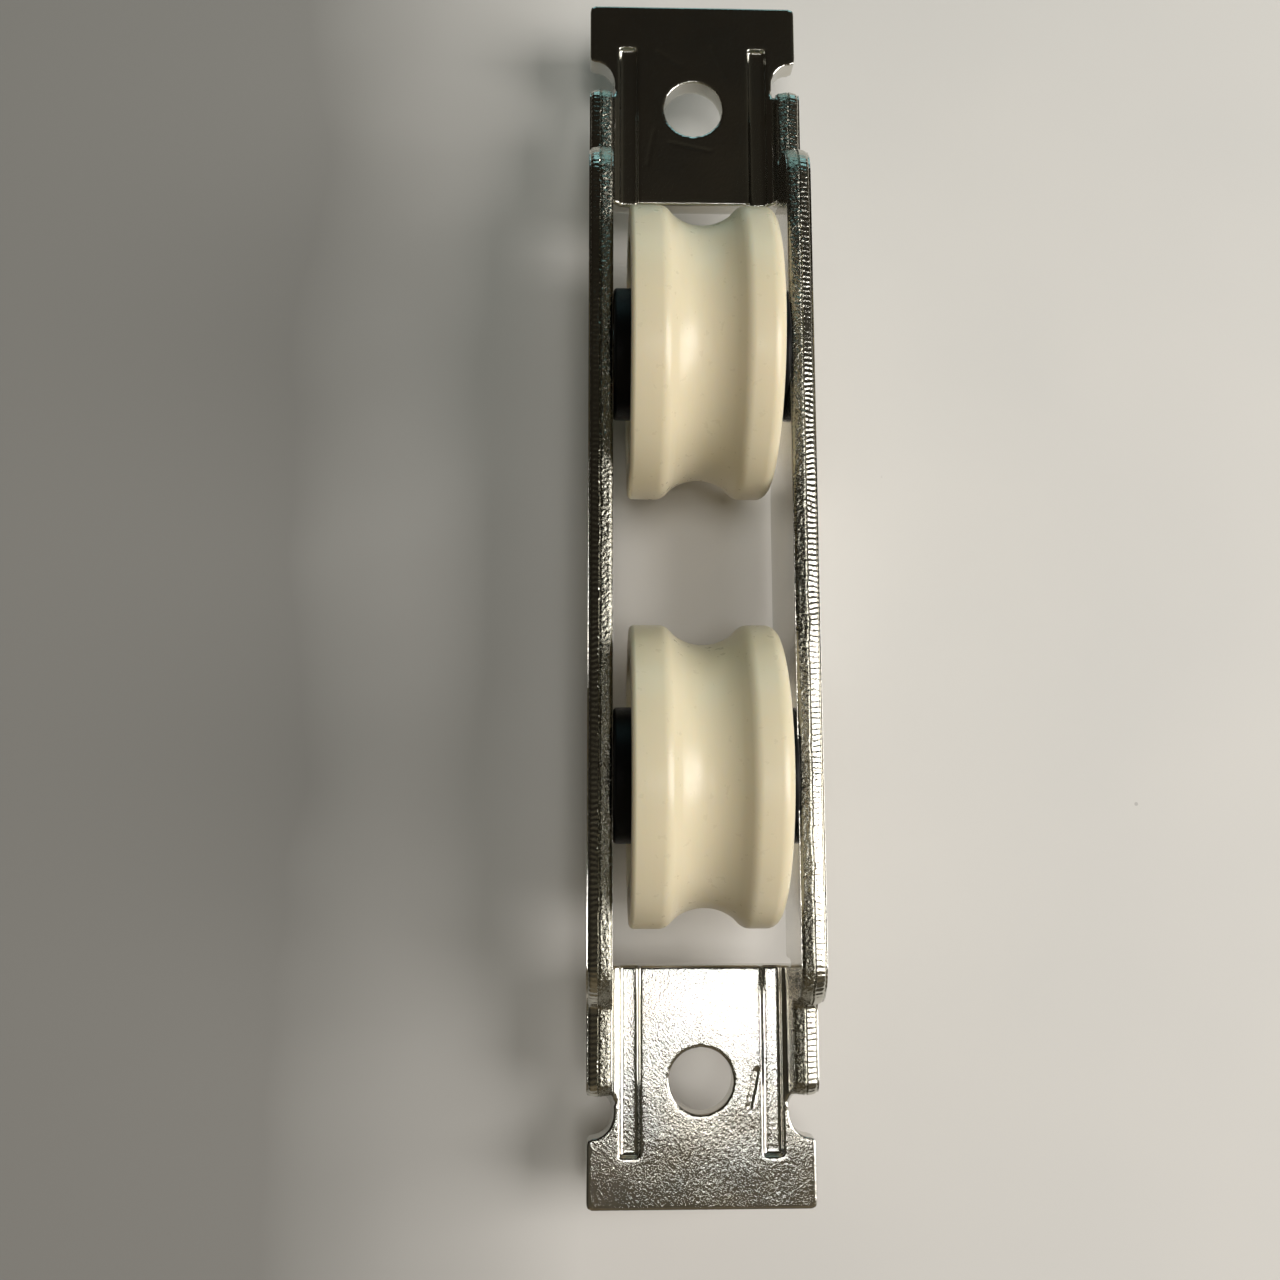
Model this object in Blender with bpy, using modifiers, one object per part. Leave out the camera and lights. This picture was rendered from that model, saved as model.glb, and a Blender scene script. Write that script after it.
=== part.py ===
"""Sliding door roller: two grooved nylon wheels in tandem in a pressed-steel channel frame.

Metres, +Z up. The unit stands on its wheels: the origin is on the floor midway between the wheels,
+Y runs along the frame and the axles lie along X. The frame is made the way the real one is: a flat
blank with its outline, window and holes, folded up along two bend lines. Each wheel turns on a
ball bearing on a steel axle, and black collars keep the wheel centred between the flanges.
"""
import math

import bmesh
import bpy
from mathutils import Matrix

MM = 0.001

# Frame sheet, all in millimetres. Heights are above the underside of the web.
FRAME_WIDTH = 22.0
FRAME_LENGTH = 123.6
SHEET = 2.4
BEND_INNER_RADIUS = 0.6
FLANGE_HEIGHT = 11.3
FLANGE_HALF_LENGTH = 42.4
FLANGE_CORNER_RADIUS = 4.0
LOW_FLANGE_HEIGHT = 5.1
LOW_FLANGE_HALF_LENGTH = 51.2
LOW_FLANGE_CORNER_RADIUS = 1.6
STEP_FILLET_RADIUS = 0.8
WINDOW_HALF_LENGTH = 39.2
RELIEF_SLIT_WIDTH = 0.6
RELIEF_SLIT_TOP = 3.4
FLANGE_FOOT_HEIGHT = 0.6
TONGUE_DEPTH = 5.5
TONGUE_HALF_LENGTH = 11.5
TONGUE_CORNER_RADIUS = 2.5
TONGUE_FILLET_RADIUS = 1.5
NOTCH_RADIUS = 2.05
NOTCH_DEPTH = 2.5
TAB_CORNER_RADIUS = 0.5
SCREW_HOLE_RADIUS = 3.1
SCREW_HOLE_PITCH = 100.0
BEAD_INNER_X = 5.9
BEAD_OUTER_X = 7.8
BEAD_DEPTH = 0.5
BEAD_END_Y = 57.0

# Wheels and axles
WHEEL_RADIUS = 14.4
WHEEL_WIDTH = 14.1
WHEEL_PITCH = 42.0
AXLE_HEIGHT = 6.5
LEFT_RIM_RADIUS = 0.4
RIGHT_RIM_RADIUS = 1.1
GROOVE_WIDTH = 7.4
GROOVE_DEPTH = 1.9
GROOVE_LIP = 0.3
FACE_RECESS_RADIUS = 11.6
FACE_RECESS_DEPTH = 0.6
WHEEL_LIP_RADIUS = 8.6
AXLE_RADIUS = 3.0
AXLE_FLARE_RADIUS = 3.7
AXLE_FLARE_LENGTH = 0.75
AXLE_END_INSET = 0.1
PUNCH_MARK_RADIUS = 0.9
PUNCH_MARK_DEPTH = 0.5

# Bearing, size 626
BEARING_RADIUS = 9.5
BEARING_WIDTH = 6.0
BALL_RADIUS = 1.75
BALL_COUNT = 7
BALL_CIRCLE_RADIUS = 6.25
RACE_RADIUS = 1.83
RING_EDGE = 0.3
INNER_SHOULDER_RADIUS = 5.1
OUTER_SHOULDER_RADIUS = 7.4
SEAL_SEAT_RADIUS = 8.3
SEAL_INNER_RADIUS = 5.25
SEAL_OUTER_RADIUS = 8.2
SEAL_SEAT_X = 2.2
SEAL_INNER_X = 2.35
SEAL_THICKNESS = 0.5
SEAL_DISH = 0.25
CAGE_INNER_RADIUS = 5.75
CAGE_OUTER_RADIUS = 6.75
CAGE_WIDTH = 4.2
POCKET_RADIUS = 1.87

# Collars between wheel and flange
SPACER_RADIUS = 6.5
SPACER_NOSE_RADIUS = 4.6
SPACER_NOSE_LENGTH = 0.55
SPACER_EDGE = 0.3

FIT = 0.05
BEND_STEPS = 6
WHEEL_SEGMENTS = 44
RING_SEGMENTS = 28
CAGE_SEGMENTS = 28
POCKET_SEGMENTS = 12
MERGE = 0.00001
FLAT_ANGLE = math.radians(0.5)

# Worked out from the values above
HALF_WIDTH = FRAME_WIDTH / 2
HALF_LENGTH = FRAME_LENGTH / 2
WEB_UNDERSIDE = WHEEL_RADIUS - AXLE_HEIGHT
BEND_RADIUS = BEND_INNER_RADIUS + SHEET
BEND_START = HALF_WIDTH - BEND_RADIUS
BEND_LENGTH = BEND_RADIUS * math.pi / 2
BEND_END = BEND_START + BEND_LENGTH
FLANGE_INNER_X = HALF_WIDTH - SHEET
NOTCH_Y = LOW_FLANGE_HALF_LENGTH + NOTCH_RADIUS
NOTCH_CENTRE_X = HALF_WIDTH - NOTCH_DEPTH + NOTCH_RADIUS


# ---------------------------------------------------------------- scene, materials, small helpers

def clear_scene():
    for thing in list(bpy.data.objects):
        bpy.data.objects.remove(thing, do_unlink=True)


def new_collection(name):
    collection = bpy.data.collections.new(name)
    bpy.context.scene.collection.children.link(collection)
    return collection


def make_material(name, color, roughness, metallic=0.0):
    material = bpy.data.materials.new(name)
    material.use_nodes = True
    shader = material.node_tree.nodes["Principled BSDF"]
    shader.inputs["Base Color"].default_value = (*color, 1.0)
    shader.inputs["Roughness"].default_value = roughness
    shader.inputs["Metallic"].default_value = metallic
    return material


def add_object(name, mesh, collection, material=None):
    thing = bpy.data.objects.new(name, mesh)
    collection.objects.link(thing)
    if material:
        mesh.materials.append(material)
    return thing


def as_cutter(thing):
    thing.hide_render = True
    thing.display_type = "WIRE"
    return thing


def cut(target, cutter):
    boolean = target.modifiers.new("cut_" + cutter.name, "BOOLEAN")
    boolean.operation = "DIFFERENCE"
    boolean.solver = "EXACT"
    boolean.object = cutter


def arc(centre, radius, start, end, steps):
    """Points from angle start to angle end, in degrees, both ends included."""
    angles = [math.radians(start + (end - start) * i / steps) for i in range(steps + 1)]
    return [(centre[0] + radius * math.cos(a), centre[1] + radius * math.sin(a)) for a in angles]


# ---------------------------------------------------------------- frame: blank, fold, cuts

def blank_u(height):
    """How far across the flat blank a point of the flange lies, from its height when folded."""
    return BEND_END + height - BEND_RADIUS


def quarter_outline():
    """One quarter of the blank, x across and y along, counted from the frame's middle."""
    top, low, foot = blank_u(FLANGE_HEIGHT), blank_u(LOW_FLANGE_HEIGHT), blank_u(FLANGE_FOOT_HEIGHT)
    tongue, slit_top = blank_u(-TONGUE_DEPTH), blank_u(RELIEF_SLIT_TOP)
    slit_half = RELIEF_SLIT_WIDTH / 2
    slit_y = WINDOW_HALF_LENGTH - slit_half
    corner, low_corner, fillet = FLANGE_CORNER_RADIUS, LOW_FLANGE_CORNER_RADIUS, STEP_FILLET_RADIUS
    tab_corner = (HALF_WIDTH - TAB_CORNER_RADIUS, HALF_LENGTH - TAB_CORNER_RADIUS)
    notch_far_corner = (HALF_WIDTH - TAB_CORNER_RADIUS, NOTCH_Y + NOTCH_RADIUS + TAB_CORNER_RADIUS)
    points = [(tongue, 0.0)]
    points += arc((tongue + TONGUE_CORNER_RADIUS, TONGUE_HALF_LENGTH - TONGUE_CORNER_RADIUS),
                  TONGUE_CORNER_RADIUS, 180, 90, 5)
    points += arc((foot - TONGUE_FILLET_RADIUS, TONGUE_HALF_LENGTH + TONGUE_FILLET_RADIUS),
                  TONGUE_FILLET_RADIUS, 270, 360, 4)
    points += [(foot, WINDOW_HALF_LENGTH - RELIEF_SLIT_WIDTH)]
    points += arc((slit_top, slit_y), slit_half, 270, 450, 4)
    points += [(0.0, WINDOW_HALF_LENGTH)]
    points += arc((0.0, SCREW_HOLE_PITCH / 2), SCREW_HOLE_RADIUS, -90, 90, 14)
    points += [(0.0, HALF_LENGTH)]
    points += arc(tab_corner, TAB_CORNER_RADIUS, 90, 0, 2)
    points += arc(notch_far_corner, TAB_CORNER_RADIUS, 0, -90, 2)
    points += arc((NOTCH_CENTRE_X, NOTCH_Y), NOTCH_RADIUS, 90, 270, 10)
    points += arc((low - low_corner, LOW_FLANGE_HALF_LENGTH - low_corner), low_corner, 90, 0, 4)
    points += arc((low + fillet, FLANGE_HALF_LENGTH + fillet), fillet, 180, 270, 3)
    points += arc((top - corner, FLANGE_HALF_LENGTH - corner), corner, 90, 0, 7)
    points += [(top, 0.0)]
    return points


def fold(u, y):
    """Where a point of the flat blank lies on the outer skin of the folded frame."""
    beyond_notch = y > NOTCH_Y - FIT
    beside_window = y < WINDOW_HALF_LENGTH - RELIEF_SLIT_WIDTH / 2
    if u >= BEND_END and not beyond_notch:
        return HALF_WIDTH, u - BEND_END + BEND_RADIUS
    if beside_window:
        return HALF_WIDTH, BEND_RADIUS - (BEND_END - u)
    if u <= BEND_START or beyond_notch:
        return u, 0.0
    angle = (u - BEND_START) / BEND_RADIUS
    return BEND_START + BEND_RADIUS * math.sin(angle), BEND_RADIUS * (1 - math.cos(angle))


def folded_quarter_mesh():
    sheet = bmesh.new()
    outline = [sheet.verts.new((u, y, 0.0)) for u, y in quarter_outline()]
    sheet.faces.new(outline)
    bmesh.ops.triangulate(sheet, faces=sheet.faces[:])
    for step in range(BEND_STEPS + 1):
        bend_line = BEND_START + BEND_LENGTH * step / BEND_STEPS
        everything = sheet.verts[:] + sheet.edges[:] + sheet.faces[:]
        bmesh.ops.bisect_plane(sheet, geom=everything, plane_co=(bend_line, 0, 0), plane_no=(1, 0, 0))
    for vert in sheet.verts:
        x, height = fold(vert.co.x, vert.co.y)
        vert.co = (x * MM, vert.co.y * MM, (WEB_UNDERSIDE + height) * MM)
    bmesh.ops.remove_doubles(sheet, verts=sheet.verts[:], dist=MERGE)
    bmesh.ops.dissolve_limit(sheet, angle_limit=FLAT_ANGLE, verts=sheet.verts[:], edges=sheet.edges[:])
    mesh = bpy.data.meshes.new("frame")
    sheet.to_mesh(mesh)
    sheet.free()
    return mesh


def add_frame(parts, cutters, steel):
    frame = add_object("frame", folded_quarter_mesh(), parts, steel)
    mirror = frame.modifiers.new("mirror", "MIRROR")
    mirror.use_axis = (True, True, False)
    mirror.merge_threshold = MERGE
    solidify = frame.modifiers.new("sheet", "SOLIDIFY")
    solidify.thickness = SHEET * MM
    solidify.use_even_offset = True
    solidify.offset = -1.0
    cut(frame, bead_cutter(cutters))
    for end, sign in (("rear", 1), ("front", -1)):
        cut(frame, axle_hole_cutter(f"{end}_axle_hole", sign * WHEEL_PITCH / 2, cutters))
    return frame


def bead_cutter(cutters):
    """The sunk beads beside the bends, from the window out to their blunt ends, four in one cutter."""
    start_y = WINDOW_HALF_LENGTH - 2
    size = (BEAD_OUTER_X - BEAD_INNER_X, BEAD_END_Y - start_y, 3 * BEAD_DEPTH)
    centre = ((BEAD_OUTER_X + BEAD_INNER_X) / 2, (BEAD_END_Y + start_y) / 2,
              WEB_UNDERSIDE + SHEET + BEAD_DEPTH / 2)
    box = bmesh.new()
    bmesh.ops.create_cube(box, size=1.0)
    bmesh.ops.scale(box, verts=box.verts[:], vec=[s * MM for s in size])
    bmesh.ops.translate(box, verts=box.verts[:], vec=[c * MM for c in centre])
    mesh = bpy.data.meshes.new("beads")
    box.to_mesh(mesh)
    box.free()
    cutter = as_cutter(add_object("beads", mesh, cutters))
    mirror = cutter.modifiers.new("mirror", "MIRROR")
    mirror.use_axis = (True, True, False)
    mirror.merge_threshold = MERGE
    return cutter


def axle_hole_cutter(name, y, cutters):
    """The hole through both flanges, opened out at the outer faces for the peened axle ends."""
    hole = AXLE_RADIUS + FIT
    rim = AXLE_FLARE_RADIUS + 2 * FIT
    flare_start = HALF_WIDTH - AXLE_FLARE_LENGTH - 2 * AXLE_END_INSET
    past = HALF_WIDTH + 1
    profile = [(0, past), (rim, past), (rim, HALF_WIDTH), (hole, flare_start)]
    profile += [(r, -x) for r, x in reversed(profile)]
    cutter = turned(name, profile, RING_SEGMENTS, cutters)
    place_on_axle(cutter, y)
    return as_cutter(cutter)


# ---------------------------------------------------------------- turned pieces

def turned(name, profile, segments, collection, material=None):
    """A turned piece from (radius, height) points in mm, outer side first, top to bottom.

    A profile that starts and ends at radius 0 is solid; any other is closed into a ring.
    """
    mesh = bpy.data.meshes.new(name)
    count = len(profile)
    solid = profile[0][0] == 0 and profile[-1][0] == 0
    edges = [(i, i + 1) for i in range(count - 1)]
    if not solid:
        edges.append((count - 1, 0))
    mesh.from_pydata([(r * MM, 0, h * MM) for r, h in profile], edges, [])
    thing = add_object(name, mesh, collection, material)
    screw = thing.modifiers.new("turn", "SCREW")
    screw.steps = segments
    screw.render_steps = segments
    screw.use_merge_vertices = True
    screw.merge_threshold = MERGE
    screw.use_smooth_shade = True
    return thing


def place_on_axle(thing, y, x=0.0, flipped=False):
    """Turn a piece's own axis into the axle's line, +Z to +X, or to -X when flipped."""
    turn = -90 if flipped else 90
    thing.location = (x * MM, y * MM, WHEEL_RADIUS * MM)
    thing.rotation_euler = (0, math.radians(turn), 0)


def mirrored(profile_half):
    """The full profile of a ring that is the same on both sides of its middle plane."""
    return profile_half + [(r, -h) for r, h in reversed(profile_half)]


def rim_corner(radius):
    """The rounded corner between the tread and one side face, from the face outwards."""
    return arc((WHEEL_RADIUS - radius, WHEEL_WIDTH / 2 - radius), radius, 90, 0, 3)


def wheel_profile():
    """The tread with its groove, then the bore; the left face is below, the right face on top."""
    opening = GROOVE_WIDTH / 2
    groove_radius = (opening ** 2 + GROOVE_DEPTH ** 2) / (2 * GROOVE_DEPTH)
    groove_centre = WHEEL_RADIUS - GROOVE_DEPTH + groove_radius
    lip_angle = math.degrees(math.asin((opening - GROOVE_LIP / 2) / groove_radius))
    groove = arc((groove_centre, 0), groove_radius, 180 - lip_angle, 180 + lip_angle, 8)
    left_rim = [(r, -h) for r, h in reversed(rim_corner(LEFT_RIM_RADIUS))]
    tread = rim_corner(RIGHT_RIM_RADIUS) + [(WHEEL_RADIUS, opening + GROOVE_LIP)] + groove
    tread += [(WHEEL_RADIUS, -opening - GROOVE_LIP)] + left_rim
    face = WHEEL_WIDTH / 2
    recess_face = face - FACE_RECESS_DEPTH
    seat = BEARING_RADIUS + 2 * FIT
    seat_half = BEARING_WIDTH / 2 + FIT
    face_in = [(FACE_RECESS_RADIUS, face), (FACE_RECESS_RADIUS - FACE_RECESS_DEPTH / 2, recess_face),
               (WHEEL_LIP_RADIUS, recess_face), (WHEEL_LIP_RADIUS, seat_half), (seat, seat_half)]
    bore = [(r, -h) for r, h in face_in] + list(reversed(face_in))
    return tread + bore


def outer_ring_profile():
    half = BEARING_WIDTH / 2
    reach = math.degrees(math.acos((OUTER_SHOULDER_RADIUS - BALL_CIRCLE_RADIUS) / RACE_RADIUS))
    race = arc((BALL_CIRCLE_RADIUS, 0), RACE_RADIUS, -reach, reach, 6)
    outside = [(BEARING_RADIUS - RING_EDGE, half), (BEARING_RADIUS, half - RING_EDGE)]
    outside += [(r, -h) for r, h in reversed(outside)]
    seat = [(SEAL_SEAT_RADIUS, -half), (SEAL_SEAT_RADIUS, -SEAL_SEAT_X),
            (OUTER_SHOULDER_RADIUS, -SEAL_SEAT_X)]
    return outside + seat + race + [(r, -h) for r, h in reversed(seat)]


def inner_ring_profile():
    half = BEARING_WIDTH / 2
    reach = math.degrees(math.acos((BALL_CIRCLE_RADIUS - INNER_SHOULDER_RADIUS) / RACE_RADIUS))
    race = arc((BALL_CIRCLE_RADIUS, 0), RACE_RADIUS, 180 - reach, 180 + reach, 6)
    bore = AXLE_RADIUS + FIT
    return [(INNER_SHOULDER_RADIUS, half)] + race + [(INNER_SHOULDER_RADIUS, -half), (bore, -half),
                                                     (bore, half)]


def seal_profile():
    inner, outer = SEAL_INNER_RADIUS, SEAL_OUTER_RADIUS
    bottom, top = SEAL_INNER_X, SEAL_INNER_X + SEAL_THICKNESS
    return [(outer - SEAL_DISH, top), (outer, top - SEAL_DISH), (outer, bottom), (inner, bottom),
            (inner, top)]


def spacer_profile():
    """From the bearing's inner ring outwards to the flange: a nose, then the full collar."""
    start = BEARING_WIDTH / 2 + FIT
    shoulder = start + SPACER_NOSE_LENGTH
    end = FLANGE_INNER_X - FIT
    bore = AXLE_RADIUS + FIT
    return [(SPACER_RADIUS - SPACER_EDGE, end), (SPACER_RADIUS, end - SPACER_EDGE),
            (SPACER_RADIUS, shoulder + SPACER_EDGE), (SPACER_RADIUS - SPACER_EDGE, shoulder),
            (SPACER_NOSE_RADIUS, shoulder), (SPACER_NOSE_RADIUS, start), (bore, start), (bore, end)]


def axle_profile():
    end = HALF_WIDTH - AXLE_END_INSET
    half = [(0, end - PUNCH_MARK_DEPTH), (PUNCH_MARK_RADIUS, end), (AXLE_FLARE_RADIUS, end),
            (AXLE_RADIUS, end - AXLE_FLARE_LENGTH)]
    return mirrored(half)


def add_ball(name, angle, y, parts, material):
    ball = bmesh.new()
    bmesh.ops.create_uvsphere(ball, u_segments=10, v_segments=6, radius=BALL_RADIUS * MM)
    mesh = bpy.data.meshes.new(name)
    ball.to_mesh(mesh)
    ball.free()
    mesh.shade_smooth()
    thing = add_object(name, mesh, parts, material)
    thing.location = (0, (y + BALL_CIRCLE_RADIUS * math.cos(angle)) * MM,
                      (WHEEL_RADIUS + BALL_CIRCLE_RADIUS * math.sin(angle)) * MM)
    return thing


def ball_angles():
    return [math.radians(90) + 2 * math.pi * i / BALL_COUNT for i in range(BALL_COUNT)]


def pocket_cutter(name, y, cutters):
    """All the ball pockets of one cage, as one cutter of separate radial cylinders."""
    pockets = bmesh.new()
    for angle in ball_angles():
        centre = (0, BALL_CIRCLE_RADIUS * math.cos(angle) * MM, BALL_CIRCLE_RADIUS * math.sin(angle) * MM)
        placing = Matrix.Translation(centre) @ Matrix.Rotation(angle - math.pi / 2, 4, "X")
        bmesh.ops.create_cone(pockets, cap_ends=True, segments=POCKET_SEGMENTS, radius1=POCKET_RADIUS * MM,
                              radius2=POCKET_RADIUS * MM, depth=2 * BALL_RADIUS * MM, matrix=placing)
    mesh = bpy.data.meshes.new(name)
    pockets.to_mesh(mesh)
    pockets.free()
    cutter = as_cutter(add_object(name, mesh, cutters))
    cutter.location = (0, y * MM, WHEEL_RADIUS * MM)
    return cutter


def add_cage(name, y, parts, cutters, material):
    half = CAGE_WIDTH / 2
    ring = [(CAGE_OUTER_RADIUS, half), (CAGE_OUTER_RADIUS, -half), (CAGE_INNER_RADIUS, -half),
            (CAGE_INNER_RADIUS, half)]
    cage = turned(name, ring, CAGE_SEGMENTS, parts, material)
    place_on_axle(cage, y)
    cut(cage, pocket_cutter(name + "_pockets", y, cutters))
    return cage


def add_wheel_set(end, y, parts, cutters, paint):
    """One wheel with its bearing, axle and collars, centred at the given y."""
    rings = [
        (f"{end}_wheel", wheel_profile(), WHEEL_SEGMENTS, "nylon"),
        (f"{end}_axle", axle_profile(), RING_SEGMENTS, "axle_steel"),
        (f"{end}_bearing_outer_ring", outer_ring_profile(), RING_SEGMENTS, "bearing_steel"),
        (f"{end}_bearing_inner_ring", inner_ring_profile(), RING_SEGMENTS, "bearing_steel"),
    ]
    for name, profile, segments, material in rings:
        place_on_axle(turned(name, profile, segments, parts, paint[material]), y)
    for side, flipped in (("left", True), ("right", False)):
        seal = turned(f"{end}_{side}_seal", seal_profile(), RING_SEGMENTS, parts, paint["seal_rubber"])
        place_on_axle(seal, y, flipped=flipped)
        spacer = turned(f"{end}_{side}_spacer", spacer_profile(), RING_SEGMENTS, parts,
                        paint["black_plastic"])
        place_on_axle(spacer, y, flipped=flipped)
    add_cage(f"{end}_bearing_cage", y, parts, cutters, paint["cage_steel"])
    for number, angle in enumerate(ball_angles(), start=1):
        add_ball(f"{end}_bearing_ball_{number}", angle, y, parts, paint["bearing_steel"])


def main():
    clear_scene()
    parts = new_collection("sliding_door_roller")
    cutters = new_collection("cutters")
    paint = {
        "zinc_steel": make_material("zinc_steel", (0.62, 0.62, 0.60), 0.28, 1.0),
        "nylon": make_material("nylon", (0.80, 0.74, 0.60), 0.35),
        "axle_steel": make_material("axle_steel", (0.55, 0.55, 0.54), 0.30, 1.0),
        "bearing_steel": make_material("bearing_steel", (0.60, 0.60, 0.61), 0.12, 1.0),
        "cage_steel": make_material("cage_steel", (0.50, 0.50, 0.50), 0.35, 1.0),
        "seal_rubber": make_material("seal_rubber", (0.02, 0.02, 0.02), 0.60),
        "black_plastic": make_material("black_plastic", (0.015, 0.015, 0.017), 0.45),
    }
    add_frame(parts, cutters, paint["zinc_steel"])
    for end, sign in (("front", -1), ("rear", 1)):
        add_wheel_set(end, sign * WHEEL_PITCH / 2, parts, cutters, paint)


main()
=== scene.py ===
"""Looks for the sliding door roller: zinc-plated pressed frame, cream nylon wheels, black collars.

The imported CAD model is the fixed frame. Everything here is in metres in its own axes: the unit
stands on its wheels on the floor, +Y along the frame and +X along the axles.
"""
import math

import bmesh
import bpy
import numpy as np
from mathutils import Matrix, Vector, noise
from mathutils.kdtree import KDTree


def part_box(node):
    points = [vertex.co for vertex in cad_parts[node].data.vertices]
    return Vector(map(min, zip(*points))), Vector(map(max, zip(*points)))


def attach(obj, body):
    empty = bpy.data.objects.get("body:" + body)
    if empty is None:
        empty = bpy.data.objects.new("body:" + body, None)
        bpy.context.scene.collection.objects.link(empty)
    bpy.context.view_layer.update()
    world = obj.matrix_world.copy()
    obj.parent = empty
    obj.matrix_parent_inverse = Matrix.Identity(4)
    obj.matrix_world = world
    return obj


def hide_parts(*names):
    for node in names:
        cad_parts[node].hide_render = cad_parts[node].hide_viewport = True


MM = 0.001
ENDS = ("front", "rear")
SIDES = (("left", -1), ("right", 1))

# ---------------------------------------------------------------- camera, floor and light

LENS_MM = 37.57
CAMERA_AT = (-0.01005, -0.02678, 0.14288)
CAMERA_TURN = (8.361, -1.826, -0.110)


def add_camera():
    data = bpy.data.cameras.new("camera")
    data.lens = LENS_MM
    data.sensor_width = 36.0
    data.clip_start = 0.005
    data.clip_end = 20.0
    camera = bpy.data.objects.new("camera", data)
    bpy.context.scene.collection.objects.link(camera)
    camera.location = CAMERA_AT
    camera.rotation_euler = [math.radians(a) for a in CAMERA_TURN]
    bpy.context.scene.camera = camera


def add_area_light(name, at, aim, size, power, color):
    data = bpy.data.lights.new(name, "AREA")
    data.shape = "RECTANGLE"
    data.size, data.size_y = size
    data.energy = power
    data.color = color
    light = bpy.data.objects.new(name, data)
    bpy.context.scene.collection.objects.link(light)
    light.location = at
    direction = Vector(aim) - Vector(at)
    light.rotation_euler = direction.to_track_quat("-Z", "Y").to_euler()
    return light


def add_lights():
    """A small hot panel above the near end, a broad one on the right, a cool one behind, and soft fill.

    The fill from straight above lights the paper and the wheels but makes no highlight in the metal.
    """
    add_area_light("key_panel", at=(0.058, -0.108, 0.60), aim=(0, -0.05, 0), size=(0.052, 0.062),
                   power=0.14, color=(1.0, 0.99, 0.96))
    fill = add_area_light("ceiling_fill", at=(0.02, -0.02, 0.70), aim=(0, 0, 0), size=(0.22, 0.22),
                          power=1.0, color=(1.0, 0.985, 0.95))
    fill.visible_glossy = False
    add_area_light("side_panel", at=(0.42, -0.04, 0.36), aim=(0, 0, 0), size=(0.26, 0.44),
                   power=2.6, color=(1.0, 0.97, 0.945))
    add_area_light("cool_back_panel", at=(0.03, 0.42, 0.15), aim=(0, 0.03, 0.015), size=(0.34, 0.22),
                   power=0.24, color=(0.46, 0.86, 0.92))


def set_world():
    """A dim room, brightest in a ring about 50 degrees round the near right, and darkest opposite."""
    world = bpy.data.worlds.new("room")
    world.use_nodes = True
    bpy.context.scene.world = world
    tree = world.node_tree
    coords = tree.nodes.new("ShaderNodeTexCoord")
    towards = tree.nodes.new("ShaderNodeVectorMath")
    towards.operation = "DOT_PRODUCT"
    towards.inputs[1].default_value = (0.50, -0.87, 0.0)
    half = tree.nodes.new("ShaderNodeMath")
    half.operation = "MULTIPLY_ADD"
    half.inputs[1].default_value = 0.5
    half.inputs[2].default_value = 0.5
    ramp = tree.nodes.new("ShaderNodeValToRGB")
    tree.links.new(coords.outputs["Generated"], towards.inputs[0])
    tree.links.new(towards.outputs["Value"], half.inputs[0])
    tree.links.new(half.outputs[0], ramp.inputs[0])
    stops = ramp.color_ramp.elements
    stops[0].position, stops[0].color = 0.28, (0.017, 0.014, 0.010, 1)
    stops[1].position, stops[1].color = 1.0, (0.06, 0.055, 0.045, 1)
    between = ((0.44, (0.040, 0.036, 0.026)), (0.56, (0.075, 0.066, 0.048)),
               (0.66, (0.085, 0.066, 0.038)), (0.80, (0.20, 0.165, 0.11)))
    for position, color in between:
        stops.new(position).color = (*color, 1)
    tree.links.new(ramp.outputs["Color"], tree.nodes["Background"].inputs["Color"])
    tree.nodes["Background"].inputs["Strength"].default_value = 1.0


# ---------------------------------------------------------------- material nodes

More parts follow.
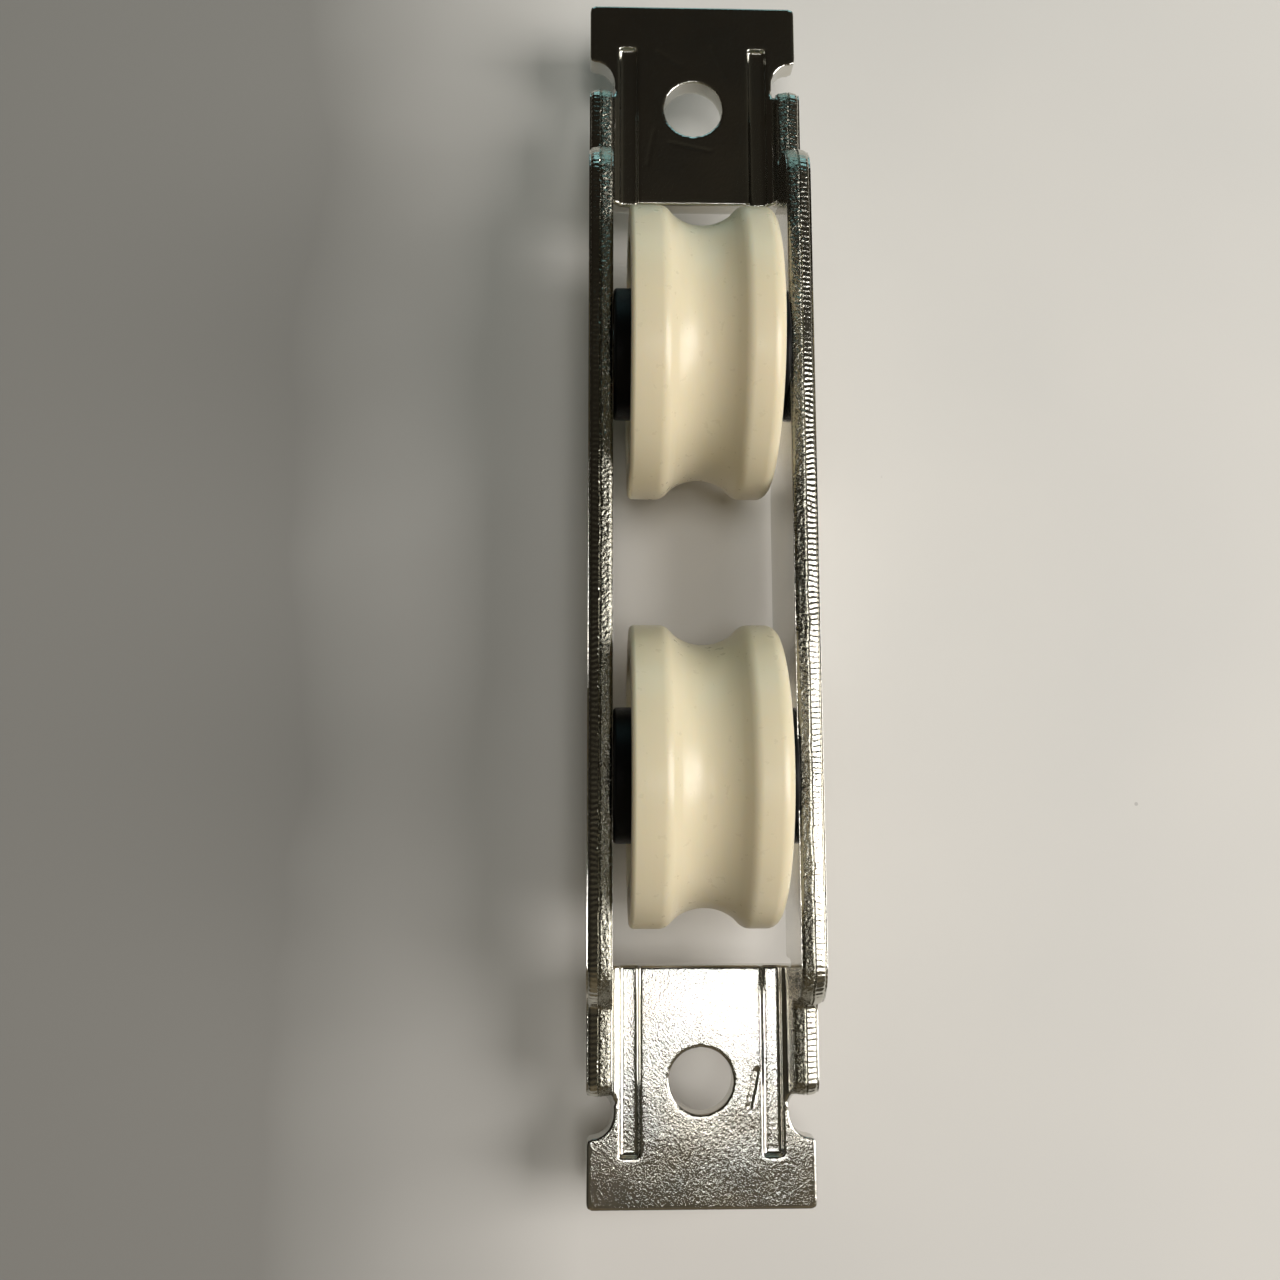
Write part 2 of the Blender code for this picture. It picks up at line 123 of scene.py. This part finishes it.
class Shader:
    """A material with a Principled shader, and short ways to add the nodes that feed it."""

    def __init__(self, name, color, roughness, metallic=0.0, **sockets):
        self.material = bpy.data.materials.new(name)
        self.material.use_nodes = True
        self.tree = self.material.node_tree
        self.main = self.tree.nodes["Principled BSDF"]
        self.main.inputs["Base Color"].default_value = (*color, 1)
        self.main.inputs["Roughness"].default_value = roughness
        self.main.inputs["Metallic"].default_value = metallic
        for socket, value in sockets.items():
            self.main.inputs[socket.replace("_", " ")].default_value = value
        coords = self.tree.nodes.new("ShaderNodeTexCoord")
        self.mm = self.vector("MULTIPLY", coords.outputs["Object"], (1000, 1000, 1000))

    def feed(self, socket, value):
        if isinstance(value, bpy.types.NodeSocket):
            self.tree.links.new(value, socket)
        elif value is not None:
            socket.default_value = value

    def vector(self, operation, first, second):
        node = self.tree.nodes.new("ShaderNodeVectorMath")
        node.operation = operation
        self.feed(node.inputs[0], first)
        self.feed(node.inputs[1], second)
        return node.outputs[0]

    def math(self, operation, first, second=None, third=None, clamp=False):
        node = self.tree.nodes.new("ShaderNodeMath")
        node.operation = operation
        node.use_clamp = clamp
        for socket, value in zip(node.inputs, (first, second, third)):
            self.feed(socket, value)
        return node.outputs[0]

    def split(self, vector):
        node = self.tree.nodes.new("ShaderNodeSeparateXYZ")
        self.feed(node.inputs[0], vector)
        return node.outputs

    def noise(self, scale, detail=3.0, roughness=0.55, stretch=(1, 1, 1), distortion=0.0):
        """Noise with scale features per millimetre, stretched along the axes."""
        node = self.tree.nodes.new("ShaderNodeTexNoise")
        self.feed(node.inputs["Vector"], self.vector("MULTIPLY", self.mm, stretch))
        node.inputs["Scale"].default_value = scale
        node.inputs["Detail"].default_value = detail
        node.inputs["Roughness"].default_value = roughness
        node.inputs["Distortion"].default_value = distortion
        return node.outputs[0]

    def cells(self, scale, stretch=(1, 1, 1)):
        node = self.tree.nodes.new("ShaderNodeTexVoronoi")
        self.feed(node.inputs["Vector"], self.vector("MULTIPLY", self.mm, stretch))
        node.inputs["Scale"].default_value = scale
        return node.outputs

    def ramp(self, value, stops):
        node = self.tree.nodes.new("ShaderNodeValToRGB")
        self.feed(node.inputs[0], value)
        elements = node.color_ramp.elements
        while len(elements) < len(stops):
            elements.new(0.5)
        for element, (position, color) in zip(elements, stops):
            element.position = position
            element.color = (*color, 1) if isinstance(color, tuple) else (color, color, color, 1)
        return node.outputs[0]

    def range(self, value, low, high, to_low, to_high):
        node = self.tree.nodes.new("ShaderNodeMapRange")
        for socket, number in zip(node.inputs, (value, low, high, to_low, to_high)):
            self.feed(socket, number)
        return node.outputs[0]

    def mix(self, factor, first, second):
        node = self.tree.nodes.new("ShaderNodeMix")
        node.data_type = "RGBA"
        self.feed(node.inputs["Factor"], factor)
        self.feed(node.inputs["A"], (*first, 1) if isinstance(first, tuple) else first)
        self.feed(node.inputs["B"], (*second, 1) if isinstance(second, tuple) else second)
        return node.outputs["Result"]

    def bump(self, height, strength, depth_mm, under=None):
        node = self.tree.nodes.new("ShaderNodeBump")
        node.inputs["Strength"].default_value = strength
        node.inputs["Distance"].default_value = depth_mm * MM
        self.feed(node.inputs["Height"], height)
        if under is not None:
            self.feed(node.inputs["Normal"], under)
        return node.outputs[0]

    def set(self, **sockets):
        for socket, value in sockets.items():
            self.feed(self.main.inputs[socket.replace("_", " ")], value)
        return self.material


def zinc_steel():
    """Bright zinc plate on cold-rolled sheet: grain drawn out along the frame, pale blotches, fine pits."""
    s = Shader("zinc_steel", (0.62, 0.61, 0.58), 0.2, 1.0)
    grain = s.noise(5.5, 3.0, 0.6, (1, 0.6, 1))
    pits = s.noise(11.0, 2.0, 0.6, (1, 0.7, 1))
    blotch = s.noise(0.16, 3.0, 0.6)
    drawn = s.noise(9.0, 2.0, 0.5, (1, 0.04, 1))
    color = s.mix(s.ramp(blotch, ((0.35, 0.0), (0.68, 1.0))), (0.66, 0.635, 0.57), (0.58, 0.585, 0.56))
    rough = s.range(grain, 0.3, 0.7, 0.09, 0.15)
    normal = s.bump(grain, 0.6, 0.034)
    normal = s.bump(pits, 0.30, 0.008, normal)
    normal = s.bump(drawn, 0.15, 0.004, normal)
    return s.set(Base_Color=color, Roughness=rough, Normal=normal)


def sheared_edge():
    """The cut edge of the sheet: a grainy fracture on the inner side, a burnished band on the outer."""
    s = Shader("sheared_edge", (0.60, 0.59, 0.55), 0.25, 1.0)
    across = s.math("ABSOLUTE", s.split(s.mm)[0])
    outer = s.range(across, BAND_X - 0.05, BAND_X + 0.1, 0.0, 1.0)
    grit = s.noise(3.6, 3.0, 0.65)
    rough = s.math("ADD", s.range(grit, 0.3, 0.7, 0.14, 0.30), s.math("MULTIPLY", outer, -0.08))
    color = s.mix(outer, (0.40, 0.39, 0.33), (0.58, 0.57, 0.51))
    grit_height = s.math("MULTIPLY", grit, s.range(outer, 0.0, 1.0, 1.0, 0.35))
    normal = s.bump(grit_height, 0.8, 0.10)
    return s.set(Base_Color=color, Roughness=rough, Normal=normal)


def cream_nylon(seed):
    """Cream moulded nylon: slightly see-through, faint turning rings, soft gloss."""
    s = Shader("cream_nylon_" + str(seed), (0.80, 0.70, 0.48), 0.3, IOR=1.53)
    s.set(Subsurface_Weight=0.35, Subsurface_Scale=0.0012)
    s.main.inputs["Subsurface Radius"].default_value = (1.0, 0.75, 0.45)
    rings = s.noise(3.0, 3.0, 0.6, (1, 0.0, 0.0))
    cloud = s.noise(0.12, 2.0, 0.5)
    mottle = s.noise(1.1, 3.0, 0.6)
    color = s.mix(s.ramp(cloud, ((0.35, 0.0), (0.7, 1.0))), (0.80, 0.71, 0.50), (0.76, 0.68, 0.48))
    rough = s.range(mottle, 0.3, 0.7, 0.26, 0.38)
    normal = s.bump(rings, 0.25, 0.02)
    normal = s.bump(mottle, 0.12, 0.03, normal)
    return s.set(Base_Color=color, Roughness=rough, Normal=normal)


def black_plastic():
    s = Shader("black_plastic", (0.003, 0.003, 0.003), 0.5, Specular_IOR_Level=0.15)
    skin = s.noise(6.0, 2.0, 0.6)
    rough = s.range(skin, 0.3, 0.7, 0.34, 0.52)
    return s.set(Roughness=rough, Normal=s.bump(skin, 0.25, 0.02))


def seal_rubber():
    s = Shader("seal_rubber", (0.016, 0.016, 0.016), 0.62)
    skin = s.noise(8.0, 2.0, 0.6)
    return s.set(Roughness=s.range(skin, 0.3, 0.7, 0.5, 0.7), Normal=s.bump(skin, 0.3, 0.02))


def axle_steel():
    s = Shader("axle_steel", (0.50, 0.49, 0.47), 0.3, 1.0)
    hammered = s.noise(1.4, 3.0, 0.6)
    rough = s.range(hammered, 0.3, 0.7, 0.22, 0.42)
    return s.set(Roughness=rough, Normal=s.bump(hammered, 0.4, 0.06))


def bearing_steel():
    s = Shader("bearing_steel", (0.62, 0.62, 0.62), 0.08, 1.0)
    haze = s.noise(1.5, 2.0, 0.5)
    return s.set(Roughness=s.range(haze, 0.3, 0.7, 0.06, 0.14))


def cage_steel():
    s = Shader("cage_steel", (0.48, 0.47, 0.45), 0.35, 1.0)
    haze = s.noise(2.5, 2.0, 0.5)
    return s.set(Roughness=s.range(haze, 0.3, 0.7, 0.28, 0.42), Normal=s.bump(haze, 0.2, 0.02))


def pale_paper():
    """Warm white paper with a few dark specks, and painted shade darkening it towards the left, where the
    room's shade falls.
    """
    s = Shader("pale_paper", (0.68, 0.65, 0.62), 0.8)
    fibre = s.noise(1.2, 4.0, 0.6)
    cloud = s.noise(0.03, 2.0, 0.5)
    color = s.mix(s.ramp(cloud, ((0.3, 0.0), (0.7, 1.0))), (0.74, 0.715, 0.675), (0.71, 0.69, 0.655))
    speck = s.math("LESS_THAN", s.cells(0.09)[0], 0.018)
    color = s.mix(s.math("MULTIPLY", speck, 0.35), color, (0.20, 0.18, 0.17))
    # Painted shade: the paper colour is mixed towards a dark grey left of x = -6 mm, with a cloudy edge,
    # standing in for the shadow that falls there.
    shade = s.math("ADD", s.split(s.mm)[0], s.math("MULTIPLY", cloud, 14.0))
    color = s.mix(s.range(shade, -36.0, -6.0, 0.0, 1.0), (0.30, 0.29, 0.27), color)
    return s.set(Base_Color=color, Normal=s.bump(fibre, 0.10, 0.05))


# ---------------------------------------------------------------- turned pieces

def rounded(points, closed, steps=6):
    """A polyline of (radius, along, corner radius) in mm with every corner rounded by a short arc."""
    result = []
    count = len(points)
    for i, (r, x, corner) in enumerate(points):
        here = Vector((r, x))
        before = Vector(points[i - 1][:2]) - here
        after = Vector(points[(i + 1) % count][:2]) - here
        at_end = not closed and i in (0, count - 1)
        if at_end or corner <= 0 or before.angle(after) > math.radians(172):
            result.append((r, x))
            continue
        half = before.angle(after) / 2
        reach = min(corner / math.tan(half), 0.45 * before.length, 0.45 * after.length)
        start, end = before.normalized() * reach, after.normalized() * reach
        centre = (start + end).normalized() * (reach / math.cos(half))
        arm_in, arm_out = start - centre, end - centre
        for k in range(steps + 1):
            arm = arm_in.lerp(arm_out, k / steps).normalized() * arm_in.length
            result.append(tuple(here + centre + arm))
    return result


def closed_mesh(name, verts, faces, sharp_degrees):
    """A mesh with its faces turned outwards, smooth but for the edges over the given angle."""
    mesh = bpy.data.meshes.new(name)
    mesh.from_pydata(verts, [], faces)
    solid = bmesh.new()
    solid.from_mesh(mesh)
    bmesh.ops.recalc_face_normals(solid, faces=solid.faces[:])
    solid.to_mesh(mesh)
    solid.free()
    mesh.shade_smooth()
    mesh.set_sharp_from_angle(angle=math.radians(sharp_degrees))
    return mesh


def turned_mesh(name, profile, closed, segments):
    """A piece turned about X from (radius, along X) points in mm, with its axis through the origin."""
    verts, faces, rows = [], [], []
    for r, x in profile:
        if r < 1e-6:
            rows.append([len(verts)] * segments)
            verts.append((x * MM, 0, 0))
            continue
        rows.append([len(verts) + k for k in range(segments)])
        for k in range(segments):
            a = 2 * math.pi * k / segments
            verts.append((x * MM, r * math.cos(a) * MM, r * math.sin(a) * MM))
    pairs = list(zip(rows, rows[1:]))
    if closed:
        pairs.append((rows[-1], rows[0]))
    for one, two in pairs:
        for k in range(segments):
            n = (k + 1) % segments
            corners = [one[k], one[n], two[n], two[k]]
            faces.append(tuple(dict.fromkeys(corners)))
    return closed_mesh(name, verts, faces, 40)


def add_piece(name, mesh, material, body, replaced, at=(0, 0, 0)):
    piece = bpy.data.objects.new(name, mesh)
    bpy.context.scene.collection.objects.link(piece)
    piece.location = at
    mesh.materials.append(material)
    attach(piece, body)
    if replaced:
        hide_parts(*replaced)
    return piece


def centre_of(node):
    low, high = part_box(node)
    return (low + high) / 2


GROOVE_HALF = 3.7
GROOVE_DEPTH = 1.9
GROOVE_LIP = 0.9
GROOVE_STEPS = 12
LIP_ROUND = 1.5
LEFT_RIM_ROUND = 0.45
RIGHT_RIM_ROUND = 1.2
BORE_RADIUS = 3.05


def wheel_profile(half_width, radius):
    """The grooved tread, the stepped faces and the bearing seat; the left face is at -X."""
    groove_radius = (GROOVE_HALF ** 2 + GROOVE_DEPTH ** 2) / (2 * GROOVE_DEPTH)
    groove_centre = radius - GROOVE_DEPTH + groove_radius
    reach = math.asin((GROOVE_HALF - GROOVE_LIP) / groove_radius)
    angles = [reach * k / GROOVE_STEPS for k in range(-GROOVE_STEPS, GROOVE_STEPS + 1)]
    groove = [(groove_centre - groove_radius * math.cos(a), groove_radius * math.sin(a), 0) for a in angles]
    recess, lip, seat, seat_half = half_width - 0.6, 8.6, 9.6, 3.05

    def face(sign, rim_round):
        return [(radius, sign * GROOVE_HALF, LIP_ROUND), (radius, sign * half_width, rim_round),
                (11.6, sign * half_width, 0.25), (11.3, sign * recess, 0.25), (9.7, sign * recess, 0.15),
                (9.4, sign * (recess - 0.2), 0.15), (lip, sign * (recess - 0.2), 0.3),
                (lip, sign * seat_half, 0.0), (seat, sign * seat_half, 0.0)]

    left = list(reversed(face(-1, LEFT_RIM_ROUND)))
    return rounded(left + groove + face(1, RIGHT_RIM_ROUND), closed=True)


def add_wheel(end, material):
    node = end + "_wheel"
    low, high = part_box(node)
    half_width = (high.x - low.x) / 2 / MM
    radius = (high.z - low.z) / 2 / MM
    mesh = turned_mesh(node + "_moulded", wheel_profile(half_width, radius), True, 180)
    add_piece(node + "_moulded", mesh, material, end + "_wheel", [node], centre_of(node))


def add_spacer(end, side, sign, material):
    node = f"{end}_{side}_spacer"
    low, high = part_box(node)
    outer = max(abs(low.x), abs(high.x)) / MM
    inner = min(abs(low.x), abs(high.x)) / MM
    radius = (high.z - low.z) / 2 / MM
    nose, shoulder = 4.6, inner + 0.55
    points = [(BORE_RADIUS, outer, 0.1), (radius, outer, 0.35), (radius, shoulder, 0.35),
              (nose, shoulder, 0.1), (nose, inner, 0.1), (BORE_RADIUS, inner, 0.1)]
    profile = [(r, sign * x) for r, x in rounded(points, closed=True)]
    mesh = turned_mesh(node + "_collar", profile, True, 96)
    at = (0, centre_of(node).y, centre_of(node).z)
    add_piece(node + "_collar", mesh, material, "frame", [node], at)


def add_seal(end, side, sign, material):
    node = f"{end}_{side}_seal"
    low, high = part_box(node)
    outer = max(abs(low.x), abs(high.x)) / MM
    inner = min(abs(low.x), abs(high.x)) / MM
    points = [(5.25, inner, 0.05), (5.25, outer, 0.15), (5.75, outer, 0.1), (5.95, outer - 0.15, 0.1),
              (7.45, outer - 0.15, 0.1), (7.65, outer, 0.1), (8.2, outer, 0.15), (8.2, inner, 0.05)]
    profile = [(r, sign * x) for r, x in rounded(points, closed=True)]
    mesh = turned_mesh(node + "_lipped", profile, True, 96)
    at = (0, centre_of(node).y, centre_of(node).z)
    add_piece(node + "_lipped", mesh, material, end + "_wheel", [node], at)


def add_axle(end, material):
    """The pin, its two ends hammered out over the countersinks round a punch mark."""
    node = end + "_axle"
    low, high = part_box(node)
    tip = high.x / MM
    half = [(0, tip - 0.42, 0), (0.35, tip - 0.36, 0.1), (0.95, tip - 0.04, 0.15), (1.7, tip, 0.2),
            (3.3, tip - 0.02, 0.1), (3.6, tip - 0.14, 0.1), (3.66, tip - 0.22, 0), (3.0, tip - 0.78, 0)]
    points = half + [(r, -x, c) for r, x, c in reversed(half)]
    mesh = turned_mesh(node + "_pin", rounded(points, closed=False), False, 96)
    add_piece(node + "_pin", mesh, material, "frame", [node], centre_of(node))


# ---------------------------------------------------------------- frame skin and cut edges

VOXEL_MM = 0.19
SHEET = 2.4
HALF_WIDTH = 11.0
INNER_FACE = HALF_WIDTH - SHEET
WEB_TOP = 10.3
FLANGE_TOP, FLANGE_END, FLANGE_CORNER = 19.2, 42.4, 4.0
LOW_TOP, LOW_END, LOW_CORNER = 13.0, 51.2, 1.6
STEP_FILLET = 0.8

# The strips that carry the sheared edges: rows along the edge, columns across the sheet.
STRIP_FOOT = 10.9
STRIP_STEP = 0.085
STRIP_COLUMNS = 30
STRIP_DEPTH = 0.5
STRIP_INSET = 0.01
BED_REACH, BED_DEPTH = 0.25, 0.35
BAND_X = 9.9
RIB_PITCH = 0.52

# Scratches on the two tabs: both ends in X and Y, and the depth, in mm.
SCRATCHES = ((4.6, -52.6, 5.4, -49.0, 0.12), (-2.6, 46.2, 1.9, 45.2, 0.05),
             (-3.8, 56.6, -1.2, 54.9, 0.05), (2.0, 57.2, 3.4, 53.9, 0.05), (-4.9, 43.6, -4.2, 47.5, 0.04))
SCRATCH_HALF_WIDTH = 0.22
PRESS_WAVE = 0.05


def remeshed(source, name):
    """A dense even copy of a CAD mesh with its sharp corners slightly rounded."""
    copy = bpy.data.objects.new(name, source.data.copy())
    bpy.context.scene.collection.objects.link(copy)
    remesh = copy.modifiers.new("remesh", "REMESH")
    remesh.mode = "VOXEL"
    remesh.voxel_size = VOXEL_MM * MM
    smooth = copy.modifiers.new("smooth", "SMOOTH")
    smooth.factor = 0.5
    smooth.iterations = 2
    evaluated = copy.evaluated_get(bpy.context.evaluated_depsgraph_get())
    mesh = bpy.data.meshes.new_from_object(evaluated)
    mesh.name = name
    mesh.materials.clear()
    bpy.data.objects.remove(copy)
    mesh.shade_smooth()
    return mesh


def lower_under_strips(spots):
    """Sink the skin's cut edges a little, to make room for the finely modelled edge strips."""
    path = edge_path()
    normal = path_normals(path)
    tree = KDTree(len(path))
    for i, (y, z) in enumerate(path):
        tree.insert((0, y, z), i)
    tree.balance()
    near = (np.abs(spots[:, 0]) > (INNER_FACE - 0.15) * MM) & (spots[:, 2] > STRIP_FOOT * MM)
    for i in np.nonzero(near)[0]:
        _, nearest, gap = tree.find((0, spots[i, 1] / MM, spots[i, 2] / MM))
        if gap < BED_REACH:
            spots[i, 1:] = (path[nearest] - BED_DEPTH * normal[nearest]) * MM


def scratch_depth(x, y):
    """How deep the scratches on the two tabs are at one spot, in mm."""
    spot = Vector((x, y))
    for x0, y0, x1, y1, depth in SCRATCHES:
        start, run = Vector((x0, y0)), Vector((x1 - x0, y1 - y0))
        along = min(1.0, max(0.0, (spot - start).dot(run) / run.length_squared))
        gap = (spot - start - run * along).length
        if gap < SCRATCH_HALF_WIDTH:
            return depth * (1 - gap / SCRATCH_HALF_WIDTH)
    return 0.0


def add_frame_skin(node, material):
    """The CAD frame with its cut edges rounded over, shallow waves left by the press, and scratches."""
    mesh = remeshed(node, "frame_skin")
    count = len(mesh.vertices)
    spots = np.empty(count * 3, dtype=np.float32)
    mesh.vertices.foreach_get("co", spots)
    spots = spots.reshape(-1, 3)
    lower_under_strips(spots)
    on_web = np.abs(spots[:, 2] / MM - WEB_TOP) < 0.12
    for i in np.nonzero(on_web)[0]:
        spots[i, 2] -= PRESS_WAVE * MM * (0.5 + 0.5 * noise.noise(Vector(spots[i]) / MM * 0.22))
        spots[i, 2] -= scratch_depth(spots[i, 0] / MM, spots[i, 1] / MM) * MM
    mesh.vertices.foreach_set("co", spots.reshape(-1))
    mesh.update()
    return add_piece("frame_skin", mesh, material, "frame", ["frame"])


def arc_points(centre, radius, start, end, steps=10):
    angles = [math.radians(start + (end - start) * i / steps) for i in range(steps + 1)]
    return [(centre[0] + radius * math.cos(a), centre[1] + radius * math.sin(a)) for a in angles]


def edge_path():
    """The flange's edge seen from the side, as evenly spaced (y, z) points, from -Y to +Y."""
    half = [(LOW_END, STRIP_FOOT)]
    half += arc_points((LOW_END - LOW_CORNER, LOW_TOP - LOW_CORNER), LOW_CORNER, 0, 90)
    half += arc_points((FLANGE_END + STEP_FILLET, LOW_TOP + STEP_FILLET), STEP_FILLET, 270, 180)
    half += arc_points((FLANGE_END - FLANGE_CORNER, FLANGE_TOP - FLANGE_CORNER), FLANGE_CORNER, 0, 90)
    corners = [(-y, z) for y, z in half] + [(y, z) for y, z in reversed(half)]
    corners = np.array(corners)
    gaps = np.hypot(*np.diff(corners, axis=0).T)
    along = np.concatenate([[0.0], np.cumsum(gaps)])
    even = np.arange(0.0, along[-1], STRIP_STEP)
    return np.column_stack([np.interp(even, along, corners[:, k]) for k in (0, 1)])


def path_normals(path):
    """The outward directions of the edge at the points of its path."""
    tangent = np.gradient(path, axis=0)
    tangent /= np.hypot(*tangent.T)[:, None]
    return np.column_stack([-tangent[:, 1], tangent[:, 0]])


def edge_height(across, along, seed):
    """How far the cut edge stands proud of the sheet at one spot, in mm.

    across is the distance from the inner face and along the distance along the edge.
    """
    grain = noise.noise(Vector((across * 4.0, along * 3.4, seed)))
    fine = noise.noise(Vector((across * 8.0, along * 6.5, seed + 7)))
    border = BAND_X - INNER_FACE + 0.10 * noise.noise(Vector((0, along * 0.35, seed + 3)))
    roll_in = 0.24 * max(0.0, 1 - across / 0.35) ** 2
    roll_out = 0.34 * max(0.0, 1 - (SHEET - across) / 0.45) ** 2
    if across < border:
        seam = 0.14 * max(0.0, 1 - (border - across) / 0.20)
        slope = 0.14 * (border - across)
        return -0.02 + 0.05 * grain + 0.02 * fine - seam - slope - roll_in
    drift = 0.8 * noise.noise(Vector((1.3 * across, along * 0.4, seed + 11)))
    deep = 0.5 + 0.5 * noise.noise(Vector((0, along * 0.12, seed + 19)))
    ribs = math.sin(2 * math.pi * along / RIB_PITCH + drift * 3) * 0.030 * deep
    slope = 0.18 * (across - border)
    return -0.01 + ribs + 0.010 * fine - slope - roll_out


def add_edge_strip(side, sign, material):
    """The sheared edge of one flange, as its own fine surface over the top of the sheet."""
    path = edge_path()
    normal = path_normals(path)
    verts, faces = [], []
    for i, (y, z) in enumerate(path):
        for k in range(STRIP_COLUMNS + 1):
            across = SHEET * k / STRIP_COLUMNS
            lift = edge_height(across, i * STRIP_STEP, 5.0 * sign)
            x = sign * (INNER_FACE + across)
            inset = STRIP_INSET if k == 0 else -STRIP_INSET if k == STRIP_COLUMNS else 0.0
            verts.append((x + sign * inset, y + normal[i, 0] * lift, z + normal[i, 1] * lift))
        for x in (sign * (HALF_WIDTH - STRIP_INSET), sign * (INNER_FACE + STRIP_INSET)):
            verts.append((x, y - normal[i, 0] * STRIP_DEPTH, z - normal[i, 1] * STRIP_DEPTH))
    row = STRIP_COLUMNS + 3
    for i in range(len(path) - 1):
        for k in range(row):
            n = (k + 1) % row
            faces.append((i * row + k, i * row + n, (i + 1) * row + n, (i + 1) * row + k))
    faces.append(tuple(range(row)))
    faces.append(tuple((len(path) - 1) * row + k for k in range(row)))
    verts = [(x * MM, y * MM, z * MM) for x, y, z in verts]
    mesh = closed_mesh(side + "_flange_edge", verts, faces, 60)
    return add_piece(side + "_flange_edge", mesh, material, "frame", None)


# ---------------------------------------------------------------- build

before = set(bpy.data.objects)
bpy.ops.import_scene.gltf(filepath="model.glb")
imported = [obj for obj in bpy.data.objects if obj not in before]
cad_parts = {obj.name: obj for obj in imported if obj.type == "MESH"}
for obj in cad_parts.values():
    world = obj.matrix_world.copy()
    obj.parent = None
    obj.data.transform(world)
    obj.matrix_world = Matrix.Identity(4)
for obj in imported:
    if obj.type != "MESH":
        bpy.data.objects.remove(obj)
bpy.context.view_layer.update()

bpy.context.scene.view_settings.view_transform = "Standard"
add_camera()
add_lights()
set_world()

bpy.ops.mesh.primitive_grid_add(x_subdivisions=4, y_subdivisions=4, size=3.0)
floor = bpy.context.object
floor.name = "paper_floor"
floor.data.materials.append(pale_paper())

zinc, edge, pin = zinc_steel(), sheared_edge(), axle_steel()
black, rubber = black_plastic(), seal_rubber()
polished, pressed = bearing_steel(), cage_steel()
add_frame_skin(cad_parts["frame"], zinc)
for side, sign in SIDES:
    add_edge_strip(side, sign, edge)
for number, end in enumerate(ENDS):
    add_wheel(end, cream_nylon(number))
    add_axle(end, pin)
    for side, sign in SIDES:
        add_spacer(end, side, sign, black)
        add_seal(end, side, sign, rubber)
for name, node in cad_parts.items():
    if "bearing" in name:
        node.data.materials.clear()
        node.data.materials.append(pressed if "cage" in name else polished)
